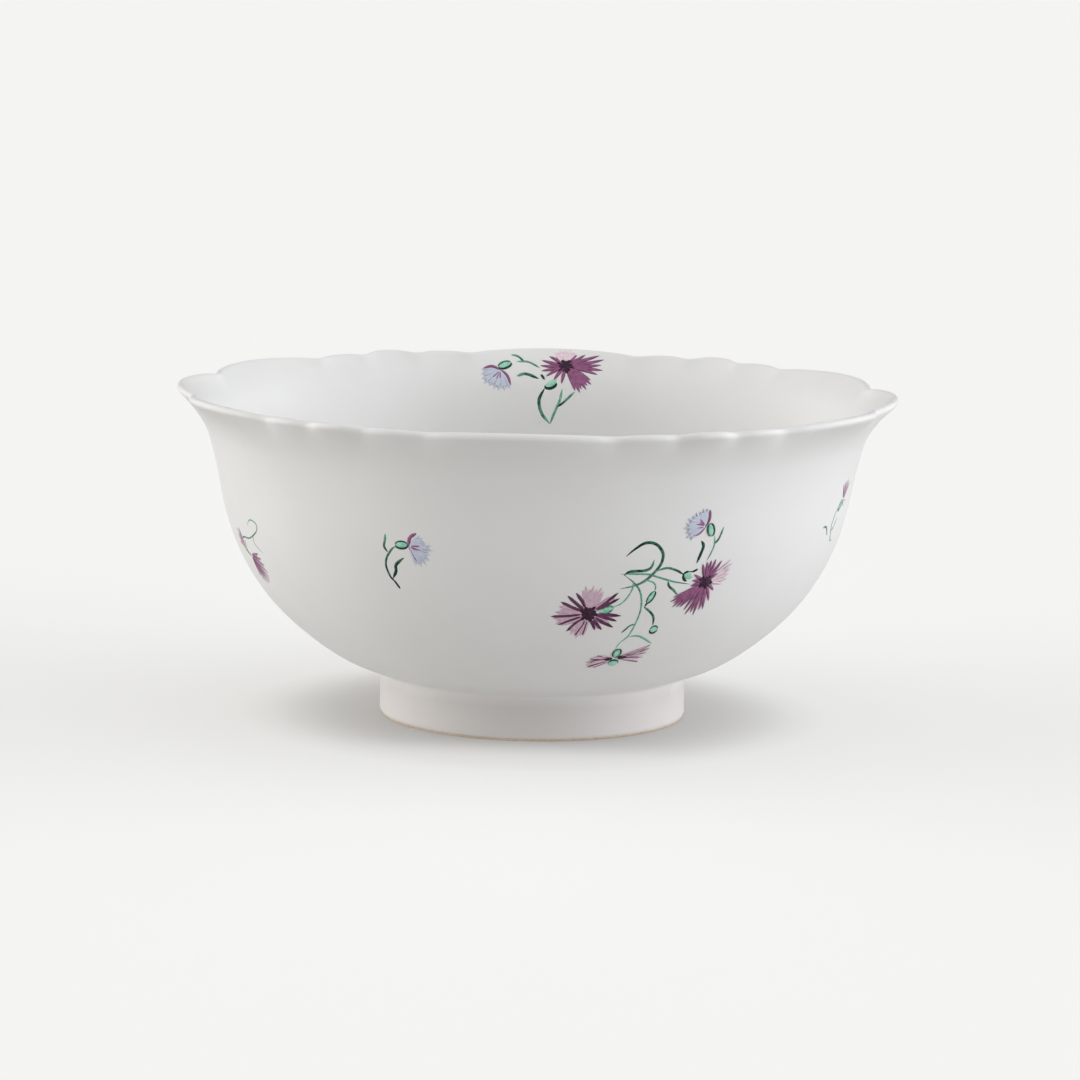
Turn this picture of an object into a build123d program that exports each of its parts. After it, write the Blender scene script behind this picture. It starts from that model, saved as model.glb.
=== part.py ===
"""Porcelain serving bowl with a lobed, flared rim and a turned foot ring.

The bowl is made the way a pottery makes it. A body is moulded in one piece, a foot ring is
turned separately and stuck on with liquid clay (slip), and the biscuit is then covered with
glaze: one coat over the outside, the rim and the inside, and one on the base inside the foot.
The foot's resting edge is wiped bare.

Units are millimetres. +Z is up. The origin is the centre of the foot, on the table. The bowl is
symmetrical about the XZ and YZ planes: a wide lobe of the rim points along +Y and one along -Y.
"""

import math
import os

from build123d import *

# ---- driving dimensions ---------------------------------------------------------------------

rim_radius = 117.5        # to the crest of a wide lobe
rim_height = 107.3        # top of the lip at a crest
lip_radius = 1.3          # rounding of the lip's edge
crest_lean = 36.0         # degrees from level at which the lip flares out at a crest
notch_lean = 60.0         # and at which it stands in the deepest notch
floor_height = 20.0       # inside floor, above the table
flat_floor_radius = 12.0  # the level disc in the middle of the floor

foot_radius = 50.0        # outside of the glazed foot
foot_corner_height = 14.7 # where the foot would meet the bowl if the corner were sharp
foot_corner_round = 2.0   # hollow rounding in that corner
wall_slope = 19.0         # degrees from level at which the wall leaves that corner
foot_width = 5.2          # foot's thickness near its resting edge
foot_taper = 0.8          # how much the foot thickens towards the bowl, on its inner side
foot_edge_round = 0.7     # rounding of the resting edge
base_height = 14.8        # underside of the floor, inside the foot
base_corner_round = 2.2   # hollow rounding in the inner corner of the foot

luting_height = 13.2      # top of the foot ring as turned
slip_thickness = 0.7      # layer of slip between the foot ring and the body
glaze_thickness = 0.35
hairline = 0.03           # left between the main coat of glaze and what it covers
bare_edge = 0.9           # height of the unglazed band at the bottom of the foot

lobe_groups = 6           # the rim's pattern repeats this many times
dent_depth = 4.2          # how far the deepest notch is pushed in
dent_drop = 1.2           # how far the same notch is lower than a crest
flare_lean = 60.0         # degrees from level at which the wall reaches the flare under the lip
ring_step = 2.5           # degrees between the points of a ring

# The glazed wall's two sides, up from the foot and down to the floor, as radius, height. The flare,
# where the lobes begin to show, starts from their top points.
outside_wall = [(60, 18.2), (73, 26.1), (86, 38.1), (95, 51.5), (101.2, 68.2), (104.6, 84.5),
                (106.4, 91.3), (108.4, 96)]
inside_wall = [(105.6, 97.5), (103.1, 91.9), (101, 84.5), (97.3, 69), (91.2, 53.6), (82.5, 41.2),
               (70, 30.8), (55, 24.4), (39, 21), (25, 20.1)]


# ---- the rim's lobes ------------------------------------------------------------------------

def lobe(angle):
    """How far out the rim stands at an angle in degrees: 1 at a wide crest, 0 in a deep notch.

    Each sixth of the rim has a wide lobe, then a small one, a medium one and a small one, but
    at +X and -X one broad lobe takes the place of those three.
    """
    sector = 360 / lobe_groups
    from_wide_crest = abs((angle - 90 + sector / 2) % sector - sector / 2)
    from_side = abs((angle + 90) % 180 - 90)
    shallow_notch = 0.19
    if from_wide_crest < 15:
        return 1 - (from_wide_crest / 15) ** 2
    if from_side < 15:
        return 0.95 - 0.95 * (from_side / 15) ** 2
    if from_wide_crest < 25:
        along = (from_wide_crest - 15) / 10
        return shallow_notch * along + 0.36 * math.sin(math.pi * along)
    return 0.9 - (0.9 - shallow_notch) * (abs(from_wide_crest - 30) / 5) ** 2


# ---- the section ----------------------------------------------------------------------------

def graded(edge, count):
    """Points along an edge, closer together near both of its ends. The last one is left out."""
    steps = [(1 - math.cos(math.pi * k / count)) / 2 for k in range(count)]
    return [edge @ step for step in steps]


def even(edge, count):
    """Evenly spaced points along an edge. The last one is left out."""
    return [edge @ (k / count) for k in range(count)]


def corner_set_back():
    """How far the hollow corner's rounding starts below the sharp corner of foot and wall."""
    return foot_corner_round * math.tan(math.radians(90 - wall_slope) / 2)


def leaning(degrees_from_level):
    """The direction up and outwards at an angle."""
    return Vector(math.cos(math.radians(degrees_from_level)),
                  math.sin(math.radians(degrees_from_level)))


def glazed_section(angle):
    """The glazed section at an angle round the bowl, from the resting edge over the lip inwards."""
    push = 1 - lobe(angle)
    along_lip = leaning(crest_lean + (notch_lean - crest_lean) * push)
    across_lip = Vector(along_lip.Y, -along_lip.X) * lip_radius
    crest_centre = Vector(rim_radius - lip_radius, rim_height - lip_radius)
    lip_centre = crest_centre - Vector(dent_depth, dent_drop) * push
    lip_outside = lip_centre + across_lip
    lip_inside = lip_centre - across_lip

    corner = Vector(foot_radius, foot_corner_height)
    corner_start = corner - Vector(0, corner_set_back())
    wall_start = corner + leaning(wall_slope) * corner_set_back()
    floor_edge = Vector(flat_floor_radius, floor_height)
    into_flare = leaning(flare_lean)

    foot_side = Line((foot_radius, 0), corner_start)
    corner_arc = TangentArc(corner_start, wall_start, tangent=(0, 1))
    outside = Spline(wall_start, *outside_wall, tangents=(leaning(wall_slope), into_flare))
    outside_flare = Spline(outside_wall[-1], lip_outside, tangents=(into_flare, along_lip))
    lip = ThreePointArc(lip_outside, lip_centre + along_lip * lip_radius, lip_inside)
    inside_flare = Spline(lip_inside, inside_wall[0], tangents=(-along_lip, -into_flare))
    inside = Spline(*inside_wall, floor_edge, tangents=(-into_flare, (-1, 0)))

    section = graded(foot_side, 8)
    section += even(corner_arc, 5)
    section += graded(outside, 20)
    section += even(outside_flare, 7)
    section += even(lip, 8)
    section += even(inside_flare, 7)
    section += graded(inside, 26)
    section.append(floor_edge)
    return section


# ---- lobed surfaces -------------------------------------------------------------------------

def inset(section, distance):
    """The section moved into the clay, at right angles to its own line."""
    moved = []
    for k, point in enumerate(section):
        before = section[max(k - 1, 0)]
        after = section[min(k + 1, len(section) - 1)]
        along = (after - before).normalized()
        moved.append(point + Vector(-along.Y, along.X) * distance)
    return moved


def above(section, height):
    """The part of a section that is higher than a given height."""
    return [point for point in section if point.Y > height]


def close_ended(section):
    """The section with points added near its ends, which keep the lofted surface true there."""
    shares = (0.1, 0.4)
    start, second = section[:2]
    last_but_one, end = section[-2:]
    lead_in = [start + (second - start) * share for share in shares]
    lead_out = [end + (last_but_one - end) * share for share in reversed(shares)]
    return [start] + lead_in + section[1:-1] + lead_out + [end]


def half_ring(stations):
    """The half of a ring from +X round to -X, through one point of each section."""
    steps = len(stations) - 1
    turns = [math.pi * k / steps for k in range(steps + 1)]
    points = [Vector(at.X * math.cos(turn), at.X * math.sin(turn), at.Y)
              for at, turn in zip(stations, turns)]
    end_tangents = [Vector(0, math.pi * points[0].X), Vector(0, math.pi * points[-1].X)]
    shares = [k / steps for k in range(steps + 1)]
    return Edge.make_spline(points, tangents=end_tangents, parameters=shares, scale=False)


def lobed_surface(sections):
    """The surface through the rings that the sections make, as two faces, and its end rings."""
    halves = [half_ring(stations) for stations in zip(*map(close_ended, sections))]
    face = Shell.make_loft([Wire([half]) for half in halves]).faces()[0]
    first, last = [Wire([half, half.mirror(Plane.XZ)]) for half in (halves[0], halves[-1])]
    return [face, face.mirror(Plane.XZ)], first, last


# ---- the pieces -----------------------------------------------------------------------------

def corner_void():
    """Where there is no clay outside the foot, as a section: round at the top, in the corner."""
    centre_radius = foot_radius + foot_corner_round
    centre_height = foot_corner_height - corner_set_back()
    reach = foot_corner_round + glaze_thickness
    below = Polyline((centre_radius - reach, -1), (centre_radius + reach, -1),
                     (centre_radius + reach, centre_height),
                     (centre_radius - reach, centre_height), close=True)
    return make_face(below) + Pos(centre_radius, centre_height) * Circle(reach)


def foot_hollow(cover):
    """The space inside the foot, as a section, when a coat of a given thickness covers it."""
    bottom_radius = foot_radius - glaze_thickness - foot_width - cover
    top_radius = bottom_radius - foot_taper
    top = base_height - cover
    outline = Polyline((0, 0), (bottom_radius, 0), (top_radius, top), (0, top), close=True)
    face = make_face(outline)
    corner = face.vertices().sort_by(Axis.Y)[-2:].sort_by(Axis.X)[-1]
    return fillet(corner, base_corner_round - cover)


def turned(section):
    """A solid of revolution from a section drawn as radius, height."""
    return revolve(Plane.XZ * section, Axis.Z)


def layer(low, high):
    """The section of everything between two heights, out to the foot's corner and beyond."""
    return make_face(Polyline((0, low), (foot_radius + 2, low), (foot_radius + 2, high),
                              (0, high), close=True))


def foot_ring():
    """The turned ring that the bowl stands on, with its resting edges rounded."""
    section = layer(0, luting_height) - corner_void() - foot_hollow(0)
    resting_corners = section.vertices().group_by(Axis.Y)[0]
    return turned(fillet(resting_corners, foot_edge_round))


def luting_slip():
    """The slip between foot ring and body, wiped to a hollow bead outside and inside."""
    seat_height = luting_height + slip_thickness
    return turned(layer(luting_height, seat_height) - corner_void() - foot_hollow(0))


def bowl_body(clay_sections):
    """The moulded body, down to its seat on the foot ring."""
    seat_height = luting_height + slip_thickness
    reach = foot_corner_round + glaze_thickness
    rise = seat_height - (foot_corner_height - corner_set_back())
    seat_radius = foot_radius + foot_corner_round - math.sqrt(reach ** 2 - rise ** 2)
    seat_edge = Vector(seat_radius, seat_height)
    sections = [[seat_edge] + above(section, seat_height + 0.2) for section in clay_sections]
    walls, seat, floor = lobed_surface(sections)
    return Solid(Shell([*walls, Face(seat), Face(floor)])) - turned(foot_hollow(0))


def glaze_coat(surface_sections):
    """The main coat of glaze: outside from the bare edge up, over the lip and all the inside."""
    depth = glaze_thickness - hairline
    thin_edge = [Vector(foot_radius - 0.7 * glaze_thickness, bare_edge),
                 Vector(foot_radius - 0.2 * glaze_thickness, bare_edge + 0.3)]
    deep_edge = [Vector(foot_radius - depth, bare_edge)]
    start = bare_edge + 0.4
    outer = [thin_edge + above(section, start) for section in surface_sections]
    inner = [deep_edge + above(inset(section, depth), start) for section in surface_sections]
    outer_walls, outer_edge, outer_floor = lobed_surface(outer)
    inner_walls, inner_edge, inner_floor = lobed_surface(inner)
    ends = [Face(outer_edge, [inner_edge]), Face(outer_floor), Face(inner_floor)]
    return Solid(Shell([*outer_walls, *inner_walls, *ends]))


def base_glaze():
    """The coat of glaze under the floor and inside the foot, down to the bare edge."""
    coat = foot_hollow(0) - foot_hollow(glaze_thickness) - layer(0, bare_edge)
    return turned(coat)


def main():
    angles = [k * ring_step for k in range(round(180 / ring_step) + 1)]
    surface_sections = [glazed_section(angle) for angle in angles]
    clay_sections = [inset(section, glaze_thickness) for section in surface_sections]
    pieces = {
        "bowl_body": bowl_body(clay_sections),
        "foot_ring": foot_ring(),
        "luting_slip": luting_slip(),
        "glaze_coat": glaze_coat(surface_sections),
        "base_glaze": base_glaze(),
    }
    os.makedirs("parts", exist_ok=True)
    for name, piece in pieces.items():
        export_step(piece, f"parts/{name}.step")


main()
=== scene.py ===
"""Porcelain serving bowl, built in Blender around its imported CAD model. Everything is in metres."""

import math

import bmesh
import bpy
from mathutils import Matrix, Vector
from mathutils.bvhtree import BVHTree


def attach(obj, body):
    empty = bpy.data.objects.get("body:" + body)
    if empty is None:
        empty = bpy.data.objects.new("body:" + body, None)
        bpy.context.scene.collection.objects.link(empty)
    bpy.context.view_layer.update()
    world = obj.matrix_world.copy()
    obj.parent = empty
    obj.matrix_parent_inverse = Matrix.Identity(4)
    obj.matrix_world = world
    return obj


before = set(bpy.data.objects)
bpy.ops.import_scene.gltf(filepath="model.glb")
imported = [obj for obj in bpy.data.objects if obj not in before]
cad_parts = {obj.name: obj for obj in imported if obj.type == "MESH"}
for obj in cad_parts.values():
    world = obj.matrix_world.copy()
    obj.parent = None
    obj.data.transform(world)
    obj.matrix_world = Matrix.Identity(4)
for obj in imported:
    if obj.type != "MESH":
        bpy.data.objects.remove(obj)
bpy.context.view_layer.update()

MM = 0.001

# ---- driving values -------------------------------------------------------------------------

VIEW_TURN = math.radians(2.7)      # the camera stands this far round from the bowl's -Y side
VIEW_DROP = math.radians(8.9)      # how steeply it looks down
VIEW_ROLL = math.radians(1.03)     # and how far it is tipped
VIEW_DISTANCE = 1.4014
AIM_HEIGHT = 57.1 * MM             # the middle of the picture, above the table
AIM_RIGHT = 1.7 * MM
FIELD_WIDTH = math.radians(14.37)


def make_camera():
    """A long lens a little above the rim, looking slightly down."""
    turn = VIEW_TURN
    level_right = Vector((math.cos(turn), math.sin(turn), 0))
    level_forward = Vector((-math.sin(turn), math.cos(turn), 0))
    up = Vector((0, 0, 1))
    forward = level_forward * math.cos(VIEW_DROP) - up * math.sin(VIEW_DROP)
    upright = up * math.cos(VIEW_DROP) + level_forward * math.sin(VIEW_DROP)
    right = level_right * math.cos(VIEW_ROLL) + upright * math.sin(VIEW_ROLL)
    above = upright * math.cos(VIEW_ROLL) - level_right * math.sin(VIEW_ROLL)
    aim = up * AIM_HEIGHT + level_right * AIM_RIGHT

    data = bpy.data.cameras.new("camera")
    data.sensor_fit = "HORIZONTAL"
    data.angle = FIELD_WIDTH
    data.dof.use_dof = False
    camera = bpy.data.objects.new("camera", data)
    bpy.context.scene.collection.objects.link(camera)
    place = Matrix((right, above, -forward)).transposed().to_4x4()
    place.translation = aim - forward * VIEW_DISTANCE
    camera.matrix_world = place
    bpy.context.scene.camera = camera


def node_material(name):
    """A new material, its node tree and its Principled shader."""
    material = bpy.data.materials.new(name)
    material.use_nodes = True
    tree = material.node_tree
    shader = tree.nodes["Principled BSDF"]
    return material, tree, shader


def add_ramp(nodes, stops):
    """A colour ramp with stops given as (position, (red, green, blue))."""
    ramp = nodes.new("ShaderNodeValToRGB")
    elements = ramp.color_ramp.elements
    for position, _ in stops[2:]:
        elements.new(position)
    for element, (position, colour) in zip(elements, stops):
        element.position = position
        element.color = (*colour, 1)
    return ramp


def add_mix(nodes, links, factor, first, second):
    """A colour blend between two outputs or constant colours."""
    mix = nodes.new("ShaderNodeMix")
    mix.data_type = "RGBA"
    links.new(factor, mix.inputs["Factor"])
    for socket, value in ((mix.inputs[6], first), (mix.inputs[7], second)):
        if isinstance(value, tuple):
            socket.default_value = (*value, 1)
        else:
            links.new(value, socket)
    return mix.outputs[2]


def add_map(nodes, links, value, low, high, to_low=0.0, to_high=1.0):
    """A smooth step of a value from one range to another."""
    step = nodes.new("ShaderNodeMapRange")
    step.interpolation_type = "SMOOTHSTEP"
    step.inputs["From Min"].default_value = low
    step.inputs["From Max"].default_value = high
    step.inputs["To Min"].default_value = to_low
    step.inputs["To Max"].default_value = to_high
    links.new(value, step.inputs["Value"])
    return step.outputs["Result"]


# ---- the studio -----------------------------------------------------------------------------

SIDE_LIGHT = [(0.0, (2.90, 2.84, 2.78)), (0.30, (0.12, 0.12, 0.12)), (0.66, (0.04, 0.04, 0.04)),
              (1.0, (3.00, 3.03, 3.12))]     # from the bowl's left to its right
LOW_LIGHT = [(0.0, (0.98, 0.965, 0.94)), (0.32, (0.52, 0.51, 0.49)), (0.64, (0.49, 0.48, 0.465)),
             (1.0, (1.00, 1.00, 1.02))]      # the same from below, in place of the floor's bounce
TOP_LIGHT = (0.86, 0.86, 0.86)
SEEN_BACKGROUND = (0.913, 0.913, 0.896)


def make_world():
    """A light tent: bright at the two sides and above, dimmer in front of and behind the bowl."""
    world = bpy.data.worlds.new("light_tent")
    bpy.context.scene.world = world
    world.use_nodes = True
    nodes, links = world.node_tree.nodes, world.node_tree.links

    coordinates = nodes.new("ShaderNodeTexCoord")
    split = nodes.new("ShaderNodeSeparateXYZ")
    links.new(coordinates.outputs["Generated"], split.inputs[0])
    across = nodes.new("ShaderNodeMath")
    across.operation = "MULTIPLY_ADD"
    across.inputs[1].default_value = 0.5
    across.inputs[2].default_value = 0.5
    links.new(split.outputs["X"], across.inputs[0])
    side = add_ramp(nodes, SIDE_LIGHT)
    links.new(across.outputs[0], side.inputs[0])
    low = add_ramp(nodes, LOW_LIGHT)
    links.new(across.outputs[0], low.inputs[0])

    upward = add_map(nodes, links, split.outputs["Z"], 0.25, 0.95)
    tent = add_mix(nodes, links, upward, side.outputs["Color"], TOP_LIGHT)
    downward = add_map(nodes, links, split.outputs["Z"], 0.05, -0.25)
    lit = add_mix(nodes, links, downward, tent, low.outputs["Color"])
    path = nodes.new("ShaderNodeLightPath")
    seen = add_mix(nodes, links, path.outputs["Is Camera Ray"], lit, SEEN_BACKGROUND)
    links.new(seen, nodes["Background"].inputs["Color"])


FLOOR_REACH = 40.0                  # from the bowl to the floor's edge
FLOOR_SHADOW_REACH = 0.035          # how near the bowl must be to shade the floor
FLOOR_SHADED = (0.52, 0.51, 0.50)
FLOOR_OPEN = (0.70, 0.70, 0.69)
FLOOR_GLOW = (0.06, 0.225)          # where the floor is shaded, and where it is open


def make_floor():
    """A wide, plain, pale floor that glows faintly, so that only the shadow by the foot is deep.

    Nearness to the bowl darkens its colour and glow: a painted shadow. The part in front of the foot is
    painted as lit and stays pale.
    """
    material, tree, shader = node_material("floor")
    nodes, links = tree.nodes, tree.links
    # painted shadow near the bowl and painted light in front of the foot, in both the floor's colour
    # and its glow
    painted_shadow_ao = nodes.new("ShaderNodeAmbientOcclusion")
    painted_shadow_ao.samples = 8
    painted_shadow_ao.inputs["Distance"].default_value = FLOOR_SHADOW_REACH
    place = nodes.new("ShaderNodeSeparateXYZ")
    links.new(nodes.new("ShaderNodeTexCoord").outputs["Object"], place.inputs[0])
    painted_front_light = add_map(nodes, links, place.outputs["Y"], -0.080, -0.025, 0.8, 0.0)
    painted_light_share = nodes.new("ShaderNodeMath")
    painted_light_share.operation = "MAXIMUM"
    links.new(painted_shadow_ao.outputs["AO"], painted_light_share.inputs[0])
    links.new(painted_front_light, painted_light_share.inputs[1])
    pale = add_mix(nodes, links, painted_light_share.outputs[0], FLOOR_SHADED, FLOOR_OPEN)
    links.new(pale, shader.inputs["Base Color"])
    glow = add_map(nodes, links, painted_light_share.outputs[0], 0.2, 0.9, *FLOOR_GLOW)
    links.new(glow, shader.inputs["Emission Strength"])
    shader.inputs["Emission Color"].default_value = (1, 1, 0.985, 1)
    shader.inputs["Roughness"].default_value = 0.9
    shader.inputs["Specular IOR Level"].default_value = 0.0
    mesh = bpy.data.meshes.new("floor")
    reach = FLOOR_REACH
    corners = [(-reach, -reach, 0), (reach, -reach, 0), (reach, reach, 0), (-reach, reach, 0)]
    mesh.from_pydata(corners, [], [(0, 1, 2, 3)])
    mesh.materials.append(material)
    floor = bpy.data.objects.new("floor", mesh)
    bpy.context.scene.collection.objects.link(floor)
    floor.visible_diffuse = False
    floor.visible_glossy = False


# ---- clay and glaze -------------------------------------------------------------------------

def add_noise(nodes, links, scale, detail=2.0):
    """Noise in the object's own coordinates."""
    coordinates = nodes.new("ShaderNodeTexCoord")
    noise = nodes.new("ShaderNodeTexNoise")
    noise.inputs["Scale"].default_value = scale
    noise.inputs["Detail"].default_value = detail
    links.new(coordinates.outputs["Object"], noise.inputs["Vector"])
    return noise.outputs["Fac"]


def add_bump(nodes, links, shader, height, depth, strength):
    """A fine relief, depth in millimetres, on a shader."""
    bump = nodes.new("ShaderNodeBump")
    bump.inputs["Strength"].default_value = strength
    bump.inputs["Distance"].default_value = depth * MM
    links.new(height, bump.inputs["Height"])
    links.new(bump.outputs["Normal"], shader.inputs["Normal"])


FOOT_SHADE_HEIGHTS = (0.010, 0.017)   # heights between which the glaze colour on the foot turns to a painted shade


def glaze_material():
    """Satin white glaze: faint cloudiness, a fine ripple, a few iron specks, and a painted shade that
    darkens it on the foot.
    """
    material, tree, shader = node_material("white_glaze")
    nodes, links = tree.nodes, tree.links
    cloud = add_noise(nodes, links, 25, 3)
    white = add_ramp(nodes, [(0.3, (0.745, 0.742, 0.730)), (0.7, (0.775, 0.774, 0.765))])
    links.new(cloud, white.inputs[0])

    coordinates = nodes.new("ShaderNodeTexCoord")
    cells = nodes.new("ShaderNodeTexVoronoi")
    cells.inputs["Scale"].default_value = 45
    links.new(coordinates.outputs["Object"], cells.inputs["Vector"])
    near = add_map(nodes, links, cells.outputs["Distance"], 0.009, 0.016, 1.0, 0.0)
    random = nodes.new("ShaderNodeSeparateColor")
    links.new(cells.outputs["Color"], random.inputs[0])
    few = add_map(nodes, links, random.outputs[0], 0.55, 0.6)
    speck = nodes.new("ShaderNodeMath")
    speck.operation = "MULTIPLY"
    links.new(near, speck.inputs[0])
    links.new(few, speck.inputs[1])
    coloured = add_mix(nodes, links, speck.outputs[0], white.outputs["Color"], (0.24, 0.21, 0.18))
    place = nodes.new("ShaderNodeSeparateXYZ")
    links.new(coordinates.outputs["Object"], place.inputs[0])
    # painted shade: the glaze colour is darker towards the bottom of the foot
    foot_shade = add_map(nodes, links, place.outputs["Z"], *FOOT_SHADE_HEIGHTS, 1.0, 0.0)
    foot_shaded_colour = add_mix(nodes, links, foot_shade, coloured, (0.60, 0.575, 0.56))
    links.new(foot_shaded_colour, shader.inputs["Base Color"])

    gloss = add_noise(nodes, links, 180, 2)
    links.new(add_map(nodes, links, gloss, 0.3, 0.7, 0.40, 0.48), shader.inputs["Roughness"])
    ripple = add_noise(nodes, links, 220, 1)
    add_bump(nodes, links, shader, ripple, 0.02, 0.25)
    return material


def biscuit_material():
    """Bare fired porcelain: warm tan with a dry grain."""
    material, tree, shader = node_material("bare_biscuit")
    nodes, links = tree.nodes, tree.links
    grain = add_noise(nodes, links, 900, 4)
    tan = add_ramp(nodes, [(0.3, (0.46, 0.37, 0.28)), (0.7, (0.60, 0.50, 0.40))])
    links.new(grain, tan.inputs[0])
    links.new(tan.outputs["Color"], shader.inputs["Base Color"])
    shader.inputs["Roughness"].default_value = 0.85
    add_bump(nodes, links, shader, grain, 0.05, 0.5)
    return material


def slip_material():
    """Fired slip, a little paler than the biscuit."""
    material, tree, shader = node_material("fired_slip")
    nodes, links = tree.nodes, tree.links
    grain = add_noise(nodes, links, 700, 3)
    pale = add_ramp(nodes, [(0.3, (0.58, 0.51, 0.42)), (0.7, (0.68, 0.62, 0.53))])
    links.new(grain, pale.inputs[0])
    links.new(pale.outputs["Color"], shader.inputs["Base Color"])
    shader.inputs["Roughness"].default_value = 0.8
    return material


def finish_clay():
    """Materials for the pieces of the CAD model."""
    glaze = glaze_material()
    biscuit = biscuit_material()
    slip = slip_material()
    for name, material in (("glaze_coat", glaze), ("base_glaze", glaze), ("bowl_body", biscuit),
                           ("foot_ring", biscuit), ("luting_slip", slip)):
        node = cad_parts[name]
        node.data.materials.clear()
        node.data.materials.append(material)


# ---- enamel marks ---------------------------------------------------------------------------

# Each paint: its slot, then its colours from thin (shade 0) to thick (shade 1).
PAINTS = {
    "green": ("enamel_green", [(0.0, (0.44, 0.78, 0.62)), (0.4, (0.17, 0.47, 0.33)),
                               (0.85, (0.002, 0.068, 0.038)), (1.0, (0.001, 0.028, 0.016))]),
    "purple": ("enamel_purple", [(0.0, (0.33, 0.12, 0.25)), (0.5, (0.15, 0.044, 0.11)),
                                 (1.0, (0.032, 0.007, 0.026))]),
    "pink": ("enamel_pink", [(0.0, (0.80, 0.66, 0.71)), (0.5, (0.58, 0.41, 0.50)),
                             (1.0, (0.40, 0.19, 0.33))]),
    "blue": ("enamel_blue", [(0.0, (0.60, 0.64, 0.74)), (1.0, (0.47, 0.51, 0.65))]),
}
ENAMEL_RISE = 0.05      # mm that enamel stands above the glaze
ENAMEL_SINK = 0.05      # mm that its underside lies in the glaze
LAYER = 0.0015          # mm that each mark lies above the one before it
NOMINAL_RADIUS = 97.0   # mm, at which the sideways measure of a spray outside is true
INSIDE_RADIUS = 88.0    # mm, the same for a spray inside
CLEAR_RADIUS = 140.0    # mm, outside all of the bowl
STEP_LENGTH = 0.45      # mm between the rings of a stroke
WIDE_STROKE = 1.3       # mm; a wider stroke has four strips across, a narrower one two
LEAST_WIDTH = 0.06      # the share of its width that a stroke keeps at its ends


def enamel_material(paint):
    """Glossy brushed enamel, whose depth of colour follows the shade stored in its mesh."""
    _, colours = PAINTS[paint]
    material, tree, shader = node_material("enamel_" + paint)
    nodes, links = tree.nodes, tree.links
    stored = nodes.new("ShaderNodeAttribute")
    stored.attribute_name = "shade"
    streaks = add_noise(nodes, links, 900, 3)
    uneven = add_map(nodes, links, streaks, 0.25, 0.75, -0.14, 0.14)
    depth = nodes.new("ShaderNodeMath")
    depth.use_clamp = True
    links.new(stored.outputs["Fac"], depth.inputs[0])
    links.new(uneven, depth.inputs[1])
    ramp = add_ramp(nodes, colours)
    links.new(depth.outputs[0], ramp.inputs[0])
    links.new(ramp.outputs["Color"], shader.inputs["Base Color"])
    shader.inputs["Roughness"].default_value = 0.38
    shader.inputs["Specular IOR Level"].default_value = 0.2
    add_bump(nodes, links, shader, streaks, 0.02, 0.3)
    return material


def curve_through(points, count):
    """Evenly numbered points along a smooth curve through the given ones (Catmull-Rom)."""
    ends = [2 * points[0] - points[1], *points, 2 * points[-1] - points[-2]]
    spans = len(points) - 1
    found = []
    for k in range(count + 1):
        along = spans * k / count
        span = min(int(along), spans - 1)
        t = along - span
        a, b, c, d = ends[span:span + 4]
        found.append(0.5 * (2 * b + (c - a) * t + (2 * a - 5 * b + 4 * c - d) * t * t
                            + (3 * b - a - 3 * c + d) * t ** 3))
    return found


def tapered(t):
    """Width of a leaf-like stroke, 0 to 1, at a share of its length."""
    return min(1, 0.12 + 1.25 * math.sin(math.pi * t) ** 0.7)


def brushed(t):
    """Width of a petal stroke, 0 to 1: it swells to its middle and thins to a finger-like tip."""
    if t < 0.5:
        return 0.35 + 0.65 * math.sin(math.pi * t)
    tip = min(1, 6 * (1 - t))
    return (1 - 1.05 * (t - 0.5)) * math.sqrt(tip)


def stroke(paint, points, width, shade=(0.8, 0.8), profile=tapered):
    """One brush stroke: paint, its points in mm, its full width and its shades along it."""
    return {"paint": paint, "points": [Vector(p) for p in points], "width": 0.85 * width,
            "shade": shade, "profile": profile}


def oval(paint, centre, half_length, half_width, lean=0.0, shade=0.16):
    """A filled oval, as one wide stroke whose width follows an ellipse."""
    turn = math.radians(lean)
    reach = Vector((math.cos(turn), math.sin(turn))) * half_length
    middle = Vector(centre)
    ends = [middle - reach, middle, middle + reach]
    return stroke(paint, ends, 2 * half_width, (shade, shade),
                  lambda t: math.sqrt(max(1 - (2 * t - 1) ** 2, 0.0004)))


def outline(paint, centre, half_length, half_width, lean, width, start, end, shade=(0.9, 0.9)):
    """Part of an oval's outline, from one angle to another."""
    turn = math.radians(lean)
    points = []
    for k in range(9):
        angle = math.radians(start + (end - start) * k / 8)
        flat = Vector((half_length * math.cos(angle), half_width * math.sin(angle)))
        flat.rotate(Matrix.Rotation(turn, 2))
        points.append(Vector(centre) + flat)
    return stroke(paint, points, width, shade)


def bud(centre, half_length, half_width, lean=0.0):
    """A calyx: mint inside, dark green outline that is heavier on one side."""
    return [oval("green", centre, half_length, half_width, lean),
            outline("green", centre, half_length, half_width, lean, 0.85, -190, 10, (0.85, 1.0)),
            outline("green", centre, half_length, half_width, lean, 0.6, 5, 175, (0.75, 0.85))]


def rays(paint, centre, width, shade, tips, start=0.8, profile=brushed):
    """Petal strokes fanning out from a centre: each tip is (angle, distance).

    Each bows a little to one side or the other, by an amount that changes from stroke to stroke.
    """
    middle = Vector(centre)
    marks = []
    for angle, reach in tips:
        turn = math.radians(angle)
        way = Vector((math.cos(turn), math.sin(turn)))
        bend = Vector((-way.y, way.x)) * (0.03 * reach * math.sin(5 * angle))
        points = [middle + way * start, middle + way * (reach * 0.55) + bend, middle + way * reach]
        marks.append(stroke(paint, points, width, shade, profile))
    return marks


def spread(start, end, lengths):
    """Tips at even angles from start to end, with the given lengths."""
    step = (end - start) / (len(lengths) - 1)
    return [(start + step * k, reach) for k, reach in enumerate(lengths)]


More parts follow.
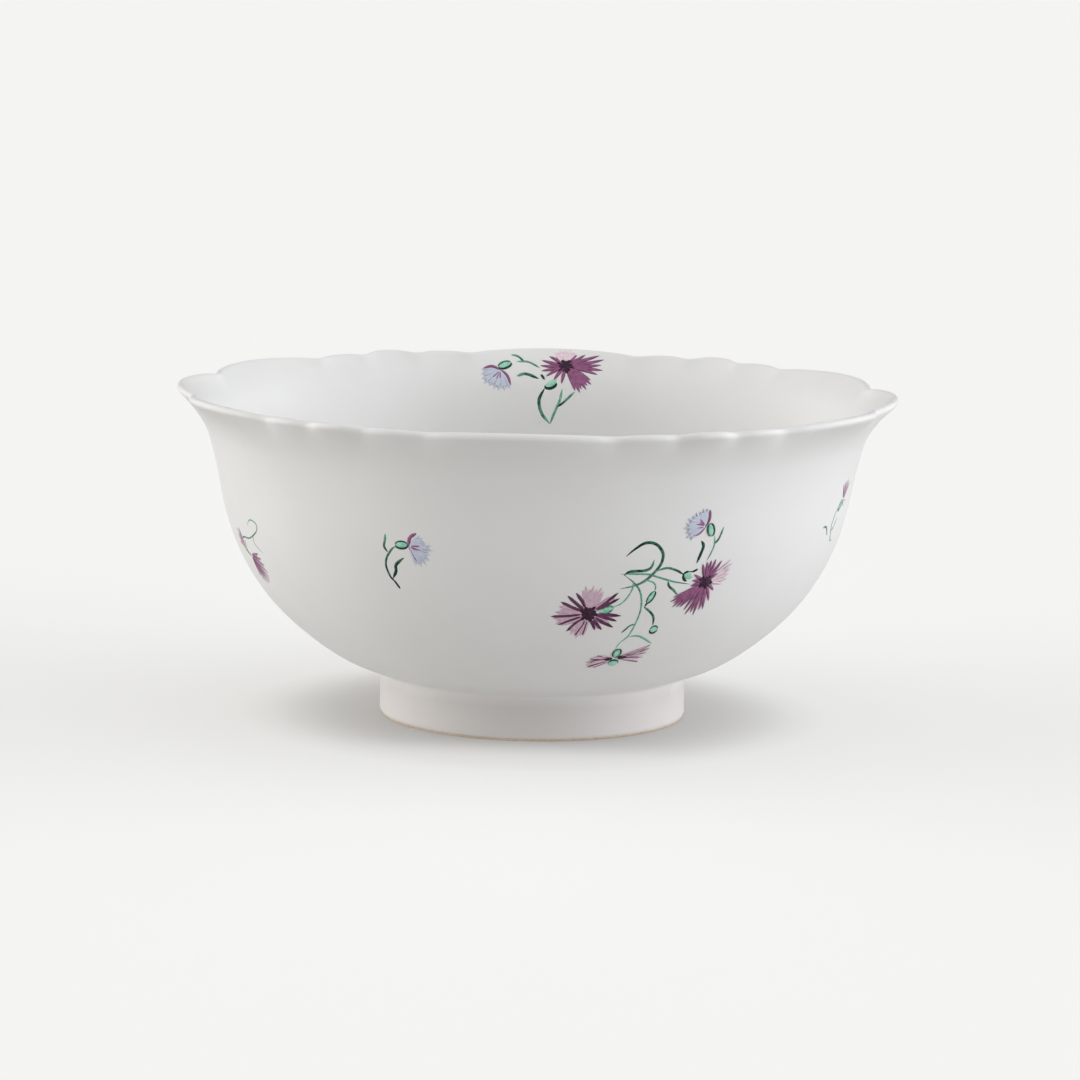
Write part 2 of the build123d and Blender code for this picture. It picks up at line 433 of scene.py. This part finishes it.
def flower_heart(centre, size):
    """The dark strokes in the middle of an open flower."""
    lengths = [1.0, 0.75, 0.95, 0.7, 0.9, 1.05, 0.8, 1.0, 0.72, 0.95, 0.8]
    return rays("purple", centre, 1.5, (1.0, 1.0), spread(-10, 320, [size * r for r in lengths]),
                -0.6, tapered)


def ragged_fan(base, start, end, lengths, paint="blue", width=1.25):
    """A nodding flower: a fan of overlapping strokes with separate tips."""
    between = [0.88 * (a + b) / 2 for a, b in zip(lengths, lengths[1:])]
    both = [reach for pair in zip(lengths, between) for reach in pair] + lengths[-1:]
    return rays(paint, base, width, (0.5, 0.2), spread(start, end, both), 0.4)


# ---- the sprays -----------------------------------------------------------------------------
# Measured in mm on the wall: first to the right, then up, as seen from in front of the painting.

def large_spray():
    """Curling stems with two open cornflowers, one from the side and one nodding."""
    left, right, low, nodding = (-16.5, -4.1), (20.9, 5.0), (-2.9, -20.6), (17.4, 23.3)
    marks = [
        stroke("green", [(-7.2, 14.6), (-4.8, 16.8), (-1.5, 18.8), (1.8, 18.3), (4.2, 15.6),
                         (4.4, 12.6), (3, 9.8), (0.2, 6.8), (-3.1, 5.1), (-7.8, 4.1)],
               1.15, (1.0, 0.55)),
        stroke("green", [(-8.4, 9), (-4.2, 8.9), (0.7, 8.6), (3.5, 7.7), (9.4, 5.8), (15.5, 4.5)],
               0.75, (0.35, 0.6)),
        stroke("green", [(-7.2, 8.5), (-5.2, 9.7), (-0.7, 9.9), (1.2, 10.9), (1.9, 13.4)],
               1.1, (1.0, 0.5)),
        stroke("green", [(2.6, 9.4), (6.3, 10.4), (9.8, 9.4), (12.6, 7.8)], 0.9, (0.45, 1.0)),
        oval("green", (14.2, 7.3), 1.7, 1.2, -20),
        outline("green", (14.4, 7.2), 1.9, 1.6, -20, 1.1, 110, 280, (1.0, 1.0)),
        stroke("green", [(14.2, 8.7), (15.9, 8.7)], 0.5, (0.9, 0.9)),
        stroke("green", [(15.3, 8.5), (17.2, 9.4)], 0.9, (1.0, 0.9)),
        stroke("green", [(7.5, 6), (8.3, 4.3), (10, 3), (12.2, 1)], 0.95, (0.9, 0.5)),
        stroke("green", [(-0.4, 6.8), (2.5, 6), (3.7, 4.5), (3.7, 2.9)], 0.6, (0.4, 0.6)),
        *bud((2.9, 0.9), 2.1, 0.85, 65),
        stroke("green", [(2.5, -0.2), (1.5, -2.2)], 0.8, (1.0, 1.0)),
        stroke("green", [(-7, 8.6), (-3.8, 6.2), (-1.5, 3.6), (-0.1, 0.2), (0.4, -3.7), (-0.1, -8),
                         (-1.3, -12.3), (-3.6, -15), (-4.3, -17)], 0.7, (0.7, 0.35)),
        stroke("green", [(-3.8, 6.6), (-4, 3.2), (-6.1, -0.4), (-9.3, -2.2)], 0.6, (0.6, 0.3)),
        stroke("green", [(1.2, -2.2), (3.6, -3.9), (5.6, -6), (6.4, -8.9)], 0.9, (0.7, 0.95)),
        *bud((7.3, -10.5), 1.35, 1.3),
        stroke("green", [(0, -8.3), (-1.7, -8.6), (-2.9, -9.8), (-4.2, -11.2)], 0.7, (0.6, 0.9)),
        stroke("green", [(-1.1, -12.6), (2.2, -12.5), (5.2, -13.7), (9, -15.7)], 0.75, (0.4, 0.5)),
        stroke("green", [(16.6, 18.6), (17.6, 16.8), (17, 14.1), (16.2, 11.3)], 1.15, (1.0, 0.9)),
        stroke("green", [(19.7, 12), (20.9, 14.8), (21.4, 17.2), (21, 20)], 0.6, (0.6, 0.35)),
        stroke("green", [(21.3, 17.2), (22.8, 19), (23.9, 22.6)], 0.8, (0.9, 0.5)),
    ]
    marks += rays("pink", left, 1.8, (0.65, 0.45),
                  spread(160, 204, [9.4, 10.3, 9.8, 11.0, 10.4, 11.6, 10.8, 11.2, 9.6]))
    marks += rays("pink", left, 1.7, (0.6, 0.4),
                  spread(64, 110, [8.4, 9.3, 8.5, 9.6, 8.4, 9.6, 8.6]))
    marks += rays("pink", left, 1.6, (0.6, 0.45),
                  spread(226, 264, [8.2, 9.2, 8.4, 9.2, 8.0, 7.6]))
    marks += rays("pink", left, 1.8, (0.7, 0.6), [(45, 8.2), (34, 9), (-12, 8.4), (-24, 8), (-56, 6.4)])
    marks += rays("purple", left, 1.25, (0.75, 0.55), [(140, 9.6), (124, 8.6), (156, 10.2),
                                                       (184, 12.2), (201, 10.4), (222, 9),
                                                       (244, 8.4), (262, 7.6)], 2.5, tapered)
    marks += rays("purple", left, 1.7, (0.5, 0.8), [(40, 10.9), (29, 10.4), (-5, 10.7),
                                                    (-16, 10), (-29, 10.1), (-48, 7.6),
                                                    (-64, 6.4)], 2.6)
    marks += [stroke("green", [(-8.8, -2), (-10.5, -1.6), (-13.4, -3.2)], 0.6, (0.7, 0.5)),
              oval("green", (-11.3, -2.8), 2.2, 0.9, 12),
              stroke("green", [(-8.8, -2.2), (-10.2, -3.7), (-13.4, -3.6)], 0.6, (0.7, 0.4))]
    marks += flower_heart(left, 3.2)

    marks += rays("pink", right, 1.5, (0.15, 0.1), [(40, 10.2), (31, 10.4), (22, 9.2), (12, 8.6),
                                                    (2, 8.2), (-10, 7)], 2)
    marks += rays("purple", right, 1.45, (0.2, 0.1),
                  spread(204, 230, [11.2, 12.4, 11.6, 12.4, 11.4, 10.6]))
    marks += rays("purple", right, 1.45, (0.2, 0.15),
                  spread(242, 284, [10.4, 11.4, 10.4, 11.2, 9.6, 9.8]))
    marks += rays("purple", right, 1.35, (0.3, 0.1), [(298, 7.6), (322, 5.2), (192, 5.2), (172, 5),
                                                     (150, 5.4), (112, 6.4), (98, 6.6),
                                                     (86, 6.9), (74, 7.4), (56, 7.9), (34, 4.6)])
    marks += flower_heart(right, 2.7)

    marks += rays("pink", low, 1.3, (0.3, 0.1), [(170, 7.6), (178, 9.4), (186, 10.8), (193, 10.9),
                                                 (200, 9.6), (207, 7.8)], 2.2)
    marks += rays("pink", low, 1.4, (0.3, 0.1), [(21, 11.6), (15, 12.6), (8, 12.2), (1, 11.2),
                                                 (-7, 10.2)], 2.2)
    marks += rays("purple", low, 0.6, (0.3, 0.2), [(170, 7.6), (180, 9.8), (187, 10.9), (198, 10.2),
                                                   (206, 7.8), (21, 12.4), (15, 12.4), (8, 12),
                                                   (0, 11.2), (-10, 10.4)], 3, tapered)
    marks += [stroke("purple", [(-4.1, -20.7), (-7.4, -20.8)], 1.7, (1, 1), brushed),
              stroke("purple", [(-2, -20.4), (1.6, -20.2)], 1.9, (1, 1), brushed),
              *bud((-3.2, -18.6), 1.45, 1.45, 80),
              oval("green", (-2.9, -22.4), 1.9, 1.2, 0),
              outline("green", (-2.9, -22.7), 2.1, 1.4, 0, 0.6, 10, 170)]

    marks += ragged_fan(nodding, 92, 222, [5.4, 5.7, 5.3, 5.8, 5.9, 6.9, 6.8, 7.3, 6.8, 7.0, 6.3])
    marks += rays("purple", nodding, 1.2, (0.1, 0.0), [(168, 3.6), (150, 2.9), (136, 3.4), (190, 3)])
    marks += [stroke("purple", [nodding, (18.4, 25.5), (18.2, 28.3)], 0.9, (0.15, 0.1)),
              stroke("purple", [nodding, (15.6, 21.2), (13.2, 20.3)], 0.8, (0.15, 0.1)),
              *bud((19.3, 21.9), 2.0, 1.1, 105)]
    return marks


def small_spray():
    """One nodding flower on a bent stem."""
    base = (4.2, 3.3)
    marks = [
        stroke("green", [(0.2, 2.8), (-1.2, 2), (-2.6, 0.2), (-3.6, -1.4), (-4.1, -4),
                         (-3.3, -7.2), (-2.2, -8.6), (-0.8, -10.8)], 0.85, (0.6, 0.95)),
        stroke("green", [(-2.2, -8.4), (-0.6, -11.2)], 0.9, (1.0, 1.0)),
        stroke("green", [(-2.9, 0.6), (-3.9, 2.4), (-3.4, 4.6), (-3.1, 6.6)], 0.9, (0.9, 0.5)),
        stroke("green", [(-2.4, -7.8), (-1, -5.4), (-0.6, -3.2), (2.3, -0.7)], 1.2, (1.0, 0.8)),
    ]
    marks += ragged_fan(base, 44, -74, [5.2, 5.4, 5.4, 7.2, 7.7, 7.2, 7.7, 7.9, 7.6, 6.6])
    marks += rays("purple", base, 1.2, (0.1, 0.0), [(0, 3.8), (-18, 4), (-28, 3.2)])
    marks += [stroke("purple", [base, (4.8, 5.9), (7, 7.5)], 1.2, (0.1, 0.1)),
              stroke("purple", [base, (5.2, 0.9), (6.5, -1.7)], 0.9, (0.15, 0.1)),
              *bud((1.9, 3.4), 2.0, 1.15, 4)]
    return marks


def upright_spray():
    """A closed flower on a tall stem."""
    base = (6.9, 4.8)
    marks = [
        stroke("green", [(5.8, -8.2), (3.3, -7.8), (0.2, -2.8), (1.6, 1.2), (4.2, 3.6)],
               0.65, (0.5, 0.6)),
        stroke("green", [(-7.2, -2.4), (-4.6, -2.6), (-1.6, -5.8)], 0.8, (0.8, 0.5)),
        stroke("green", [(1.1, -4.6), (2.8, -3.4), (4.6, -0.6)], 0.7, (0.7, 0.4)),
        *bud((4.9, 3.3), 2.2, 0.9, 42),
    ]
    marks += rays("pink", base, 1.1, (0.6, 0.2), [(108, 6.6), (84, 7.2), (60, 7), (-12, 3.4)])
    marks += rays("purple", base, 0.9, (0.3, 0.1), [(120, 6.4), (96, 6), (72, 6.4), (50, 6.6),
                                                    (-60, 2.4)])
    return marks


def curled_spray():
    """A wide cornflower and a smaller one on a curled stem with a hooked tendril."""
    low, high = (-3.6, 0.4), (-7.3, 2.2)
    marks = [
        stroke("green", [(-7.4, 2.2), (-8.6, 4.2), (-5.6, 6), (0.8, 6.6), (7.4, 9.4), (9.4, 11.8),
                         (7.8, 13), (4.6, 13), (1.5, 10.8)], 0.6, (0.8, 0.4)),
        stroke("green", [(-5.4, 5), (-6, 3.6), (-6.2, 1.2)], 0.7, (0.8, 0.5)),
        stroke("green", [(4.5, 8.2), (3.8, 5.4), (8.2, 2.7)], 0.5, (0.3, 0.4)),
        stroke("green", [(-9.5, 3), (-7.2, 1.2), (-3.6, 0)], 0.9, (0.6, 0.8)),
    ]
    marks += rays("pink", high, 1.1, (0.5, 0.3), spread(92, 160, [5.0, 6.4, 5.4, 6.4, 5.0]))
    marks += rays("purple", high, 0.8, (0.3, 0.1), spread(98, 168, [6.8, 7.0, 6.2, 5.4]))
    marks += rays("pink", low, 1.5, (0.7, 0.3),
                  spread(8, -98, [6.4, 7.6, 8.8, 9.4, 9.8, 9.6, 9, 8.2, 7.4, 6.6]))
    marks += rays("purple", low, 1.0, (0.3, 0.05),
                  spread(12, -100, [7.4, 8.2, 9.2, 10.2, 10.4, 10.2, 9.6, 8.8, 8, 7]))
    return marks


def inside_spray():
    """An open cornflower and a nodding one, hanging from a pair of stems."""
    open_flower, nodding = (5.1, 11.9), (-13.4, 10.4)
    marks = [
        stroke("green", [(1.3, -7.6), (-1.3, -4), (-2.2, 0.5), (-0.6, 4.6)], 1.15, (0.5, 1.0)),
        stroke("green", [(1.3, -7.6), (2.4, -4), (4, 0.6), (4.6, 4.6)], 0.9, (0.6, 0.4)),
        stroke("green", [(3.4, -1.6), (5.4, 0.2), (8.4, 3.7)], 0.9, (1.0, 0.5)),
        oval("green", (1.3, 6.2), 1.9, 1.1, 35),
        outline("green", (1.2, 6), 1.9, 1.3, 35, 1.1, 150, 330, (1.0, 1.0)),
        stroke("green", [(-1.8, 9.2), (-0.7, 7.4)], 0.9, (0.9, 0.9)),
        stroke("green", [(-2.2, 11.2), (-5.4, 13), (-8.8, 13.1)], 0.7, (0.7, 0.4)),
        stroke("green", [(-10.2, 15.2), (-8.4, 14.8), (-6.4, 13)], 0.75, (0.4, 0.8)),
        stroke("green", [(-8.8, 8.4), (-6.2, 9.2), (-2.4, 7.7)], 1.1, (0.5, 0.95)),
    ]
    marks += rays("pink", open_flower, 2, (0.15, 0.1), [(128, 5.4), (112, 5.2), (96, 5.2),
                                                        (80, 5.2), (64, 4.8)], 2)
    marks += rays("purple", open_flower, 1.4, (0.2, 0.1),
                  spread(346, 382, [9.8, 10.9, 10.2, 10.9, 9.8]))
    marks += rays("purple", open_flower, 1.6, (0.2, 0.1),
                  spread(293, 331, [8.6, 9.8, 9.0, 10, 9.2, 9.8, 8.8]))
    marks += rays("purple", open_flower, 1.3, (0.25, 0.1), [(36, 6.4), (52, 4.6), (148, 5.6), (166, 7),
                                                            (180, 7.2), (194, 7), (212, 6.4),
                                                            (236, 5.6), (262, 5.8)])
    marks += flower_heart(open_flower, 2.5)
    marks += ragged_fan(nodding, 178, 292, [5.6, 6.0, 6.5, 7.0, 6.6, 6.6, 6.8, 6.9, 6.6])
    marks += rays("purple", nodding, 1.1, (0.1, 0.0), [(225, 3.4), (245, 3.2), (262, 3)])
    marks += [stroke("purple", [nodding, (-15.8, 11.6), (-18.4, 10.9)], 0.9, (0.15, 0.1)),
              stroke("purple", [nodding, (-11.6, 8.6), (-10.6, 5.4)], 0.9, (0.15, 0.1)),
              *bud((-12.1, 12), 1.9, 1.0, 22)]
    return marks


# ---- laying the marks on the bowl -------------------------------------------------------------

def bowl_surface():
    """The glaze's surface as a search tree, in the bowl's own frame."""
    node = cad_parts["glaze_coat"]
    points = [node.matrix_world @ vertex.co for vertex in node.data.vertices]
    return BVHTree.FromPolygons(points, [face.vertices for face in node.data.polygons])


def outside_point(surface, turn, height, place):
    """Where a mark's place lies on the outer wall, and the way straight out from it there."""
    angle = math.radians(turn) + place.x / NOMINAL_RADIUS
    outwards = Vector((math.sin(angle), -math.cos(angle), 0))
    start = outwards * (CLEAR_RADIUS * MM) + Vector((0, 0, (height + place.y) * MM))
    point, normal, _, _ = surface.ray_cast(start, -outwards)
    return point, normal


def inside_point(surface, turn, height, place):
    """The same on the inner wall, where right and left are as seen from the middle."""
    angle = math.radians(turn) - place.x / INSIDE_RADIUS
    outwards = Vector((math.sin(angle), -math.cos(angle), 0))
    start = Vector((0, 0, (height + place.y) * MM))
    point, normal, _, _ = surface.ray_cast(start, outwards)
    return point, normal


def lay_mark(mark, order, find, body):
    """Add one mark to a body of vertices, faces and shades, as a thin closed shell."""
    points = mark["points"]
    length = sum((b - a).length for a, b in zip(points, points[1:]))
    steps = max(6, round(length / STEP_LENGTH))
    across = 4 if mark["width"] > WIDE_STROKE else 2
    line = curve_through(points, steps)
    verts, faces, shades = body
    first = len(verts)
    ring = 2 * across
    for k, place in enumerate(line):
        t = k / steps
        ahead = (line[min(k + 1, steps)] - line[max(k - 1, 0)]).normalized()
        side = Vector((-ahead.y, ahead.x))
        half = mark["width"] / 2 * max(mark["profile"](t), LEAST_WIDTH)
        tops, bottoms = [], []
        for j in range(across + 1):
            share = 2 * j / across - 1
            point, normal = find(place + side * (half * share))
            rise = ENAMEL_RISE * (1 - share ** 4) + LAYER * order
            tops.append(point + normal * (rise * MM))
            if 0 < j < across:
                bottoms.append(point - normal * (ENAMEL_SINK * MM))
        verts += tops + bottoms[::-1]
        shade = mark["shade"][0] + (mark["shade"][1] - mark["shade"][0]) * t
        shades += [shade] * ring
    for k in range(steps):
        a = first + k * ring
        for j in range(ring):
            n = (j + 1) % ring
            faces.append((a + j, a + n, a + ring + n, a + ring + j))
    faces.append(tuple(first + j for j in range(ring))[::-1])
    faces.append(tuple(first + steps * ring + j for j in range(ring)))


def outward_mesh(name, verts, faces):
    """A mesh of closed shells whose faces all look outwards."""
    mesh = bpy.data.meshes.new(name)
    mesh.from_pydata(verts, [], faces)
    shells = bmesh.new()
    shells.from_mesh(mesh)
    bmesh.ops.recalc_face_normals(shells, faces=shells.faces)
    shells.to_mesh(mesh)
    shells.free()
    return mesh


def paint_spray(name, marks, find, materials):
    """Paint one spray: one piece for each of its paints."""
    bodies = {}
    for order, mark in enumerate(marks):
        body = bodies.setdefault(mark["paint"], ([], [], []))
        lay_mark(mark, order, find, body)
    for paint, (verts, faces, shades) in bodies.items():
        mesh = outward_mesh(f"{name}_{paint}", verts, faces)
        mesh.polygons.foreach_set("use_smooth", [True] * len(mesh.polygons))
        stored = mesh.attributes.new("shade", "FLOAT", "POINT")
        stored.data.foreach_set("value", shades)
        mesh.materials.append(materials[paint])
        mesh.update()
        piece = bpy.data.objects.new(f"{name}_{paint}", mesh)
        bpy.context.scene.collection.objects.link(piece)
        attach(piece, "root")


def paint_bowl():
    """All the sprays: large ones and small ones by turns outside, three inside."""
    surface = bowl_surface()
    materials = {paint: enamel_material(paint) for paint in PAINTS}
    layout = [
        ("large", large_spray, outside_point, 53, (23, 203)),
        ("curled", curled_spray, outside_point, 56, (-63, 117)),
        ("small", small_spray, outside_point, 66, (-22, 158)),
        ("upright", upright_spray, outside_point, 72, (71, 251)),
        ("inside", inside_spray, inside_point, 90, (181, 61, 301)),
    ]
    for kind, marks, point_on, height, turns in layout:
        for count, turn in enumerate(turns, 1):
            def find(place):
                return point_on(surface, turn, height, place)
            paint_spray(f"{kind}_spray_{count}", marks(), find, materials)


bpy.context.scene.view_settings.view_transform = "Standard"
make_camera()
make_world()
make_floor()
finish_clay()
paint_bowl()
